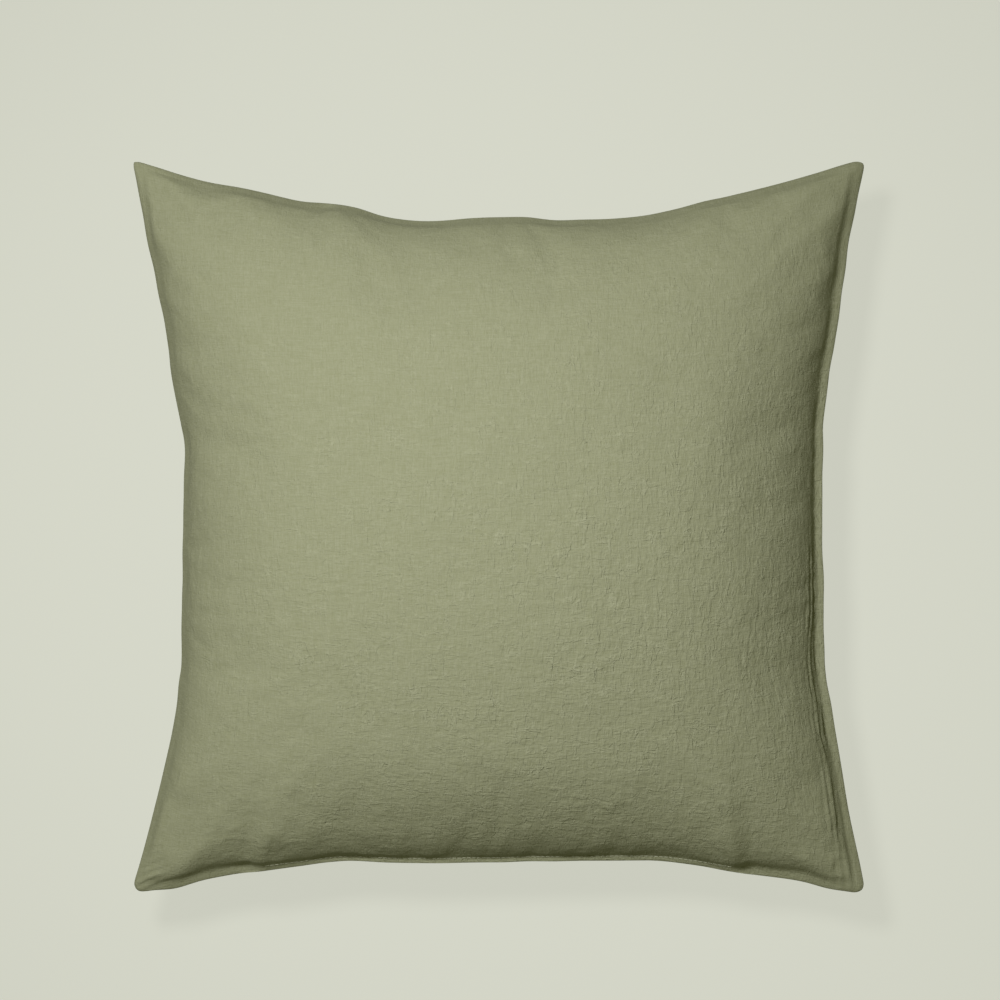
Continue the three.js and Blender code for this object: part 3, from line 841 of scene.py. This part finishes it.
def two_tone(build, shader, pattern, low, high):
    """Colours a material from a low to a high tone by a pattern."""
    build.set(shader.inputs["Base Color"], build.mix_colour(pattern, low, high))


def cloth_material(name, light, dark, pitch, slub, crease, sheen=0.02):
    """Woven cloth whose pattern follows the flat cloth."""
    material, build, shader = new_material(
        name, Roughness=0.95, Specular_IOR_Level=0.06, Sheen_Weight=sheen, Sheen_Roughness=0.5,
    )
    width, length = slub
    place = build.add("ShaderNodeUVMap", uv_map="cut").outputs["UV"]
    yarn = use_group(build, slub_group, Cloth_place=place, Yarn_width=width, Slub_length=length)
    fine = use_group(
        build, slub_group, Cloth_place=place, Yarn_width=width * 0.6, Slub_length=length * 0.25,
    )
    weave = use_group(build, weave_group, Cloth_place=place, Yarn_pitch=pitch)
    creases = use_group(build, crinkle_group, Cloth_place=place)
    tone = build.math("MULTIPLY", build.math("ADD", yarn["Tone"], fine["Tone"]), 0.5)
    woven = build.mix_colour(tone, tint(dark), tint(light))
    # Painted highlight: the crease tops are coloured paler than the woven cloth, as light on their lit
    # sides would make them.
    two_tone(build, shader, creases["Painted crease highlight"], woven, tint(light, 1.10))
    bumps(
        build, shader,
        (creases["Height"], crease, 1.0),
        (fine["Height"], 0.00030, 0.8),
        (weave["Height"], pitch * 0.12, 0.5),
    )
    return material


def thread_material(name, colour):
    """Spun thread with its twist."""
    material, build, shader = new_material(name, Roughness=0.85, Sheen_Weight=0.05)
    twist = build.add(
        "ShaderNodeTexWave", {"Vector": build.object_place(), "Scale": 700.0, "Distortion": 1.0},
        bands_direction="DIAGONAL",
    ).outputs["Fac"]
    two_tone(build, shader, twist, tint(colour, 0.75), tint(colour))
    bumps(build, shader, (twist, 0.00008, 0.8))
    return material


def lacquer_material(name, colour):
    """Lacquered zinc casting: thin even paint over a slightly uneven surface."""
    material, build, shader = new_material(name, Metallic=0.35, Coat_Weight=0.3, Coat_Roughness=0.25)
    mottle = build.noise(build.object_place(), 3.0, scale=900.0)
    two_tone(build, shader, mottle, tint(colour, 0.8), tint(colour))
    build.set(shader.inputs["Roughness"], build.math("MULTIPLY_ADD", mottle, 0.2, 0.3))
    bumps(build, shader, (mottle, 0.00003, 0.6))
    return material


def nylon_material(name, colour):
    """Extruded nylon with faint drawing lines."""
    material, build, shader = new_material(name, Roughness=0.42, Subsurface_Weight=0.05)
    lines = build.noise(build.object_place(), 2.0, scale=1500.0)
    two_tone(build, shader, lines, tint(colour), tint(colour, 1.25))
    bumps(build, shader, (lines, 0.00002, 0.5))
    return material


def tape_material(name, colour):
    """Woven tape with diagonal ribs that meet like a herringbone."""
    material, build, shader = new_material(name, Roughness=0.8, Sheen_Weight=0.15)
    rib_pitch, turn_height = 0.0009, 0.0014
    parts = build.parts(build.object_place())
    bent = build.math("PINGPONG", parts["Z"], turn_height)
    phase = build.math("MULTIPLY", build.math("ADD", parts["X"], bent), 2 * math.pi / rib_pitch)
    rib = build.math("MULTIPLY_ADD", build.math("SINE", phase), 0.5, 0.5)
    two_tone(build, shader, rib, tint(colour, 0.7), tint(colour))
    bumps(build, shader, (rib, 0.00015, 0.8))
    return material


def fibre_material(name):
    """Loose white fibre."""
    material, build, shader = new_material(name, Roughness=0.95, Sheen_Weight=0.5, Subsurface_Weight=0.1)
    tuft = build.noise(build.object_place(), 6.0, 1.5, scale=120.0)
    two_tone(build, shader, tuft, (0.78, 0.77, 0.74, 1), (0.93, 0.92, 0.90, 1))
    bumps(build, shader, (tuft, 0.003, 0.8))
    return material


def floor_material(name, colour):
    """Pale board of a light tent: it glows evenly and takes soft shadows from the key light, and its glow
    is dimmed where the cushion covers it, as a painted contact shadow.
    """
    glow = 0.86  # share of the floor's brightness that is its own
    felt = 0.4  # share of that glow that lights the cushion too
    material, build, shader = new_material(name, Roughness=0.9, Specular_IOR_Level=0.1)
    mottle = build.noise(build.object_place(), 2.0, scale=1.5)
    two_tone(build, shader, mottle, tint(colour, 0.97 * (1 - glow)), tint(colour, 1 - glow))
    shader.inputs["Emission Color"].default_value = tint(colour)
    seen = build.add("ShaderNodeLightPath").outputs["Is Camera Ray"]
    strength = build.math("MULTIPLY_ADD", seen, (1 - felt) * glow, felt * glow)
    # Painted contact shadow: the floor's glow falls to 0.12 of itself where the cushion covers it.
    covered = build.add("ShaderNodeAmbientOcclusion", {"Distance": 0.2}, samples=16).outputs["AO"]
    glow_under_painted_shadow = build.add(
        "ShaderNodeMapRange", {"Value": covered, "From Min": 0.02, "From Max": 0.5, "To Min": 0.12},
        interpolation_type="SMOOTHSTEP",
    ).outputs["Result"]
    build.set(shader.inputs["Emission Strength"], build.math("MULTIPLY", strength, glow_under_painted_shadow))
    return material


def material_for(name):
    """Makes a finish the first time it is asked for."""
    if name in bpy.data.materials and bpy.data.materials[name].use_nodes:
        return bpy.data.materials[name]
    colours = bpy.context.scene.cushion_colours
    makers = {
        "washed_linen": lambda: cloth_material(
            name, colours.linen_light, colours.linen_dark, 0.0006, (0.0009, 0.016), 0.00080),
        "insert_cotton": lambda: cloth_material(
            name, colours.cotton, tuple(0.94 * c for c in colours.cotton), 0.0004, (0.0004, 0.006), 0.0001),
        "label_satin": lambda: cloth_material(
            name, (0.88, 0.87, 0.83), (0.82, 0.81, 0.77), 0.0002, (0.0002, 0.004), 0.00003),
        "green_thread": lambda: thread_material(name, colours.thread),
        "white_thread": lambda: thread_material(name, (0.85, 0.83, 0.78)),
        "zip_tape": lambda: tape_material(name, colours.zip_tape),
        "zip_nylon": lambda: nylon_material(name, colours.zip_coil),
        "zip_lacquer": lambda: lacquer_material(name, colours.zip_metal),
        "loose_fibre": lambda: fibre_material(name),
        "floor_board": lambda: floor_material(name, colours.floor),
    }
    return makers[name]()


def finish(piece, material, replaced=(), body="cushion"):
    """Gives a piece its finish, its body and the CAD nodes it stands for."""
    piece.data.materials.clear()
    piece.data.materials.append(material_for(material))
    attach(piece, body)
    if replaced:
        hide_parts(*replaced)
    return piece


# ---- Operators ----

SHAPES = {}  # settled grid of each panel, kept for the pieces that lie against it


def sewn_panel(name):
    """A panel and its settled grid. The cover has to be sewn before the pieces that lie against it."""
    if name not in SHAPES:
        raise RuntimeError("Sew the linen cover first: this piece is fitted to its panels")
    return SHAPES[name]


def needed_piece(name):
    """A piece that another one is fitted to."""
    if name not in bpy.data.objects:
        raise RuntimeError(f"Make {name} first: this piece is fitted to it")
    return bpy.data.objects[name]


class CUSHION_OT_cover(bpy.types.Operator):
    """Sews and fills the two linen panels of the cover"""

    bl_idname = "cushion.cover"
    bl_label = "Linen Cover"

    def execute(self, context):
        sizes = context.scene.cushion_sizes
        panels = {"front": Panel(sizes, 1), "back": Panel(sizes, -1)}
        settled = settle(list(panels.values()), sizes)
        for (name, panel), points in zip(panels.items(), settled):
            if name == "back":
                points = above_floor(points)
            SHAPES[name] = (panel, points)
            piece = cloth_panel(f"linen_panel_{name}", panel, points, sizes)
            crinkle(piece, sizes.crinkle, sizes.cut / 2 - sizes.lip)
            if name == "back":
                low = mesh_points(piece.data)
                low[:, 2] = np.maximum(low[:, 2], FLOOR_GAP)
                move_points(piece.data, low)
            finish(piece, "washed_linen", [f"cover_{name}"])
        return {"FINISHED"}


class CUSHION_OT_insert(bpy.types.Operator):
    """Makes the insert: its two cotton panels and its filling"""

    bl_idname = "cushion.insert"
    bl_label = "Filled Insert"

    def execute(self, context):
        sizes = context.scene.cushion_sizes
        within = {}
        for name in ("front", "back"):
            panel, points = sewn_panel(name)
            casing = inner_grid(panel, points, CASING_DEPTH)
            within[name] = inner_grid(panel, points, FIBRE_DEPTH)
            flat = panel.flat[WITHIN_LIP] * sizes.insert_cut / np.ptp(panel.flat[WITHIN_LIP])
            cut = np.stack(np.meshgrid(flat, flat, indexing="ij"), -1).reshape(-1, 2)
            faces = grid_faces(*casing.shape[:2])
            if name == "back":
                faces = faces[:, ::-1]
            piece = new_piece(f"cotton_panel_{name}", casing.reshape(-1, 3), faces, cut)
            finish(piece, "insert_cotton", [f"insert_casing_{name}"])
        finish(self.filling(within), "loose_fibre", ["insert_filling"])
        return {"FINISHED"}

    @staticmethod
    def filling(within):
        """One lumpy body between two grids that meet at the seam's height."""
        front, back = within["front"], within["back"]
        count = front.shape[0]
        for grid, facing in ((front, 1), (back, -1)):
            bulk = np.abs(grid[..., 2] - SEAM)
            lump = 0.0012 * (soft_noise(grid[..., 0] / 0.02, grid[..., 1] / 0.02, 61 + facing) - 1)
            grid[..., 2] += facing * lump * np.clip(bulk / 0.02, 0, 1)
        back[..., 2] = np.maximum(back[..., 2], 0.0022)
        middle = (front + back) / 2
        for i, j in border_loop(count):
            front[i, j] = back[i, j] = middle[i, j]
        points = np.concatenate([front.reshape(-1, 3), back.reshape(-1, 3)])
        faces = np.concatenate([grid_faces(count, count), grid_faces(count, count, count * count)[:, ::-1]])
        piece = new_piece("fibre_filling", points, faces)
        merge_doubles(piece)
        return piece


def surface_normals(points, facing):
    """The way that each point of a settled grid faces."""
    normal = np.cross(np.gradient(points, axis=0), np.gradient(points, axis=1)) * facing
    return normal / (np.linalg.norm(normal, axis=-1, keepdims=True) + 1e-12)


WITHIN_LIP = slice(2, -2, 2)  # every second grid line inside the lip


def inner_grid(panel, points, depth):
    """A coarser grid that lies a given depth inside a panel, clear of the zip and of the seam's lip."""
    normal = surface_normals(points, panel.facing)
    grid = (blurred(points, 2) - normal * depth)[WITHIN_LIP, WITHIN_LIP].copy()
    edge = 0.012 + 0.5 * depth
    for axis, half in ((0, HALF_WIDTH), (1, HALF_DEPTH)):
        grid[..., axis] *= 1 - edge / half
    behind_zip = TAPE_HIGH.y + 0.004 + depth
    opened = slot_open(grid[..., 0], panel.sizes.slot_runout)
    held = np.maximum(grid[..., 1], behind_zip)
    grid[..., 1] += (held - grid[..., 1]) * opened * (grid[..., 1] < 0)
    for i, j in border_loop(grid.shape[0]):
        grid[i, j, 2] = SEAM + panel.facing * 0.0002
    if panel.facing < 0:
        grid[..., 2] = np.maximum(grid[..., 2], depth * 0.6)
    return grid


# ---- Stitches ----

def stitch_template(length, width):
    """One stitch lying along X, as a rounded bar."""
    deselect_all()
    bpy.ops.mesh.primitive_uv_sphere_add(segments=8, ring_count=6, radius=0.5)
    ball = bpy.context.object
    points = mesh_points(ball.data)[:, [2, 0, 1]] * (length, width, width)
    faces = [tuple(polygon.vertices) for polygon in ball.data.polygons]
    bpy.data.objects.remove(ball)
    return points, faces


def row_of_stitches(name, path, outward, kind):
    """Copies of one stitch along a path of points. outward gives the way each stitch faces."""
    length, width = STITCHES[kind]
    template, faces = stitch_template(length * 0.92, width)
    steps = np.linalg.norm(np.diff(path, axis=0), axis=1)
    places = np.concatenate([[0], np.cumsum(steps)])
    count = int(places[-1] // length)
    at = (np.arange(count) + 0.5) * places[-1] / count
    points, all_faces = [], []
    for k, place in enumerate(at):
        centre = np.array([np.interp(place, places, path[:, axis]) for axis in range(3)])
        ahead = np.array([np.interp(place + 0.0005, places, path[:, axis]) for axis in range(3)])
        along = ahead - centre
        along /= np.linalg.norm(along) + 1e-12
        up = np.array([np.interp(place, places, outward[:, axis]) for axis in range(3)])
        up -= along * (up @ along)
        up /= np.linalg.norm(up) + 1e-12
        side = np.cross(up, along)
        points.append(centre + template @ np.stack([along, side, up]))
        all_faces += [tuple(v + k * len(template) for v in face) for face in faces]
    return new_piece(name, np.concatenate(points), all_faces)


class CUSHION_OT_stitching(bpy.types.Operator):
    """Sews the cover's seam, the rows beside the zip and the insert's edge"""

    bl_idname = "cushion.stitching"
    bl_label = "Stitching"

    def execute(self, context):
        sizes = context.scene.cushion_sizes
        for name, row in (("front", "needle"), ("back", "bobbin")):
            panel, points = sewn_panel(name)
            self.beside_zip(name, panel, points)
            self.seam(row, panel, points, sizes)
        self.insert_edge()
        return {"FINISHED"}

    @staticmethod
    def beside_zip(name, panel, points):
        """Sews a row along the valley beside the zip, laid on the finished cloth."""
        linen = needed_piece(f"linen_panel_{name}").data
        cloth = BVHTree.FromPolygons(
            [tuple(point) for point in mesh_points(linen)],
            [tuple(polygon.vertices) for polygon in linen.polygons],
        )
        middle = np.abs(points[:, 2, 0]) < SLOT_TIP
        above = surface_normals(points, panel.facing)[middle, 2] * 0.004
        path, outward = [], []
        for start, lift in zip(points[middle, 2], above):
            place, normal, _, _ = cloth.ray_cast(Vector(start + lift), Vector(-lift))
            path.append(place + normal * 0.00006)
            outward.append(normal)
        piece = row_of_stitches(f"zip_topstitch_{name}", np.array(path), np.array(outward), "zip")
        finish(piece, "green_thread", [f"zip_stitch_{name}"])

    @staticmethod
    def seam(row, panel, points, sizes):
        """Sews one thread of the lockstitch round the cover, except along the zip."""
        edge, valley = edge_and_valley(panel, points)
        path = edge * 0.3 + valley * 0.7
        path[:, 2] = SEAM + panel.facing * 0.0005
        sewn = slot_open(edge[:, 0], sizes.slot_runout) * (edge[:, 1] < 0) < 0.02
        start = int(np.flatnonzero(~sewn)[-1]) + 1
        path = np.roll(path, -start, axis=0)[np.roll(sewn, -start)]
        outward = np.tile([0.0, 0.0, float(panel.facing)], (len(path), 1))
        piece = row_of_stitches(f"seam_stitches_{row}", path, outward, "seam")
        finish(piece, "green_thread", [f"cover_seam_{row}_thread"])

    @staticmethod
    def insert_edge():
        """Sews the edge stitching round the insert."""
        casing = needed_piece("cotton_panel_front").data
        count = int(round(math.sqrt(len(casing.vertices))))
        grid = mesh_points(casing).reshape(count, count, 3)
        path = np.array([grid[i, j] for i, j in border_loop(count)])
        path = path * (1.004, 1.004, 1)
        path[:, 2] = SEAM
        path = np.concatenate([path, path[:1]])
        outward = np.tile([0.0, 0.0, 1.0], (len(path), 1))
        piece = row_of_stitches("insert_overlock", path, outward, "overlock")
        finish(piece, "white_thread", ["insert_seam_thread"])


# ---- Zip ----

def shaped_copy(name, node, rounding):
    """A merged copy of a CAD solid with its edges rounded."""
    piece = bpy.data.objects.new(name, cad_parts[node].data.copy())
    bpy.context.collection.objects.link(piece)
    merge_doubles(piece, flat_within=2)
    apply_modifier(
        piece, "BEVEL", width=rounding, segments=2, limit_method="ANGLE", angle_limit=math.radians(35),
        use_clamp_overlap=True,
    )
    choose(piece)
    bpy.ops.object.shade_smooth_by_angle(angle=math.radians(40))
    return piece


class CUSHION_OT_zip(bpy.types.Operator):
    """Builds the zip: tapes, coils, stops, slider and pull tab"""

    bl_idname = "cushion.zip"
    bl_label = "Coil Zip"

    def execute(self, context):
        for side in ("front", "back"):
            self.tape(side)
            self.coil(side)
            stop = shaped_copy(f"end_clip_{side}", f"zip_top_stop_{side}", 0.00012)
            finish(stop, "zip_lacquer", [f"zip_top_stop_{side}"])
        clip = shaped_copy("joining_clip", "zip_bottom_stop", 0.00015)
        finish(clip, "zip_lacquer", ["zip_bottom_stop"])
        slider = shaped_copy("slider_casting", "zip_slider", 0.00018)
        finish(slider, "zip_lacquer", ["zip_slider"], "zip_slider")
        tab = shaped_copy("pull_tab_casting", "zip_pull_tab", 0.0002)
        finish(tab, "zip_lacquer", ["zip_pull_tab"], "zip_pull")
        return {"FINISHED"}

    @staticmethod
    def tape(side):
        """A tape whose outer edge bends in behind the panel."""
        low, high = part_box(f"zip_tape_{side}")
        size = high - low
        columns, rows = 83, 12
        x, z = np.meshgrid(
            np.linspace(low.x, high.x, columns), np.linspace(low.z, high.z, rows), indexing="ij",
        )
        bend = 0.0022 * smooth_step((np.abs(z - SEAM) - FOLD + 0.001) / (size.z + 0.0008 - FOLD))
        y = (low.y + high.y) / 2 + bend
        points = np.stack([x, y, z], -1).reshape(-1, 3)
        piece = new_piece(f"woven_tape_{side}", points, grid_faces(columns, rows)[:, ::-1])
        apply_modifier(piece, "SOLIDIFY", thickness=0.0005, offset=0)
        finish(piece, "zip_tape", [f"zip_tape_{side}"])

    @staticmethod
    def coil(side):
        """A coil as a row of separate rounded turns."""
        low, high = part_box(f"zip_coil_{side}")
        size, centre = high - low, (low + high) / 2
        pitch = 0.0012
        turns = int(size.x / pitch)
        deselect_all()
        bpy.ops.mesh.primitive_torus_add(
            major_segments=10, minor_segments=5, major_radius=0.36, minor_radius=0.14,
            rotation=(0, math.pi / 2, 0),
        )
        piece = bpy.context.object
        piece.name = piece.data.name = f"nylon_coil_{side}"
        piece.scale = (size.z, size.y, 2 * pitch)
        bpy.ops.object.transform_apply(location=False, rotation=True, scale=True)
        piece.location = (low.x + pitch / 2, centre.y, centre.z)
        bpy.ops.object.transform_apply(location=True, rotation=False, scale=False)
        apply_modifier(
            piece, "ARRAY", count=turns, use_relative_offset=False, use_constant_offset=True,
            constant_offset_displace=(size.x / turns, 0, 0),
        )
        choose(piece)
        bpy.ops.object.shade_smooth()
        finish(piece, "zip_nylon", [f"zip_coil_{side}"])


class CUSHION_OT_labels(bpy.types.Operator):
    """Hangs the blank labels inside the cover's and the insert's seams"""

    bl_idname = "cushion.labels"
    bl_label = "Blank Labels"

    def execute(self, context):
        for node in ("cover_care_label", "insert_care_label"):
            low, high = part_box(node)
            outer = self.root(low, high)
            away = math.copysign(1, low.x)
            size = high - low
            columns, rows = 17, 13
            across, down = np.linspace(low.y, high.y, columns), np.linspace(0, 1, rows)
            y, fall = np.meshgrid(across, down, indexing="ij")
            z = low.z + fall * size.z if low.z > SEAM else high.z - fall * size.z
            x = outer - away * 0.0005 * fall * (1 + np.sin(y * 300))
            cut = np.stack([y, fall * size.z], -1).reshape(-1, 2)
            points = np.stack([x, y, z], -1).reshape(-1, 3)
            piece = new_piece(node.replace("care", "satin"), points, grid_faces(columns, rows), cut)
            apply_modifier(piece, "SOLIDIFY", thickness=0.0003)
            finish(piece, "label_satin", [node])
        return {"FINISHED"}

    @staticmethod
    def root(low, high):
        """Where a label hangs between the insert's edge and the cover's seam."""
        casing = mesh_points(needed_piece("cotton_panel_front").data)
        beside = casing[np.abs(casing[:, 1] - (low.y + high.y) / 2) < 0.01, 0]
        grid = sewn_panel("front")[1]
        if low.x < 0:
            return 0.45 * beside.min() + 0.55 * grid[2, grid.shape[1] // 2, 0]
        return 0.7 * beside.max() + 0.3 * grid[-3, grid.shape[1] // 2, 0]


class CUSHION_OT_stage(bpy.types.Operator):
    """Lays the floor and places the lights and the camera"""

    bl_idname = "cushion.stage"
    bl_label = "Floor, Lights and Camera"

    def execute(self, context):
        deselect_all()
        bpy.ops.mesh.primitive_plane_add(size=FLOOR_WIDTH)
        floor = context.object
        floor.name = floor.data.name = "floor"
        floor.data.materials.append(material_for("floor_board"))
        self.key_light()
        self.sky(context.scene)
        self.camera(context.scene)
        context.scene.view_settings.view_transform = "Standard"
        return {"FINISHED"}

    @staticmethod
    def key_light():
        """A soft spot from the upper left, which falls off toward the cushion's corners."""
        bpy.ops.object.light_add(type="SPOT", location=KEY_PLACE)
        key = bpy.context.object
        key.name = "key_light"
        key.rotation_euler = (Vector(KEY_PLACE) - Vector(KEY_AIM)).to_track_quat("Z", "Y").to_euler()
        key.data.energy = KEY_POWER
        key.data.spot_size = math.radians(KEY_SPREAD)
        key.data.spot_blend = 1.0
        key.data.shadow_soft_size = KEY_SIZE

    @staticmethod
    def sky(scene):
        """Weak light from all round, with a pale backdrop that only the camera sees."""
        world = scene.world or bpy.data.worlds.new("studio")
        scene.world = world
        world.use_nodes = True
        build = Nodes(world.node_tree)
        light = world.node_tree.nodes["Background"]
        light.inputs["Color"].default_value = SKY_COLOUR
        light.inputs["Strength"].default_value = SKY_STRENGTH
        backdrop = build.add("ShaderNodeBackground", {"Color": BACKDROP, "Strength": 1.0})
        seen = build.add("ShaderNodeLightPath").outputs["Is Camera Ray"]
        mixed = build.add(
            "ShaderNodeMixShader",
            {0: seen, 1: light.outputs["Background"], 2: backdrop.outputs["Background"]},
        )
        build.set(world.node_tree.nodes["World Output"].inputs["Surface"], mixed.outputs["Shader"])

    @staticmethod
    def camera(scene):
        """Looks straight down on the cushion, with the view's width taken at the seam."""
        bpy.ops.object.camera_add(location=(*VIEW_CENTRE, SEAM + VIEW_DISTANCE))
        camera = bpy.context.object
        camera.name = "camera"
        camera.data.sensor_width = FILM_WIDTH
        camera.data.lens = FILM_WIDTH * VIEW_DISTANCE / VIEW_WIDTH
        scene.camera = camera


class CUSHION_PT_panel(bpy.types.Panel):
    """Lists the cushion's steps in the sidebar"""

    bl_label = "Linen Cushion"
    bl_idname = "CUSHION_PT_panel"
    bl_space_type = "VIEW_3D"
    bl_region_type = "UI"
    bl_category = "Cushion"

    def draw(self, context):
        for group in (context.scene.cushion_sizes, context.scene.cushion_colours):
            for key in group.__annotations__:
                self.layout.prop(group, key)
        for operator in OPERATORS:
            self.layout.operator(operator.bl_idname)


OPERATORS = (
    CUSHION_OT_cover,
    CUSHION_OT_insert,
    CUSHION_OT_stitching,
    CUSHION_OT_zip,
    CUSHION_OT_labels,
    CUSHION_OT_stage,
)
CLASSES = (CushionSizes, CushionColours, *OPERATORS, CUSHION_PT_panel)


def register():
    """Makes the cushion's sizes, colours, operators and panel known."""
    for cls in CLASSES:
        bpy.utils.register_class(cls)
    bpy.types.Scene.cushion_sizes = PointerProperty(type=CushionSizes)
    bpy.types.Scene.cushion_colours = PointerProperty(type=CushionColours)


def unregister():
    """Takes back what register did."""
    del bpy.types.Scene.cushion_colours
    del bpy.types.Scene.cushion_sizes
    for cls in reversed(CLASSES):
        bpy.utils.unregister_class(cls)


def main():
    """Makes the cushion and its stage, step by step."""
    register()
    bpy.ops.cushion.cover()
    bpy.ops.cushion.insert()
    bpy.ops.cushion.stitching()
    bpy.ops.cushion.zip()
    bpy.ops.cushion.labels()
    bpy.ops.cushion.stage()


if __name__ == "__main__":
    main()
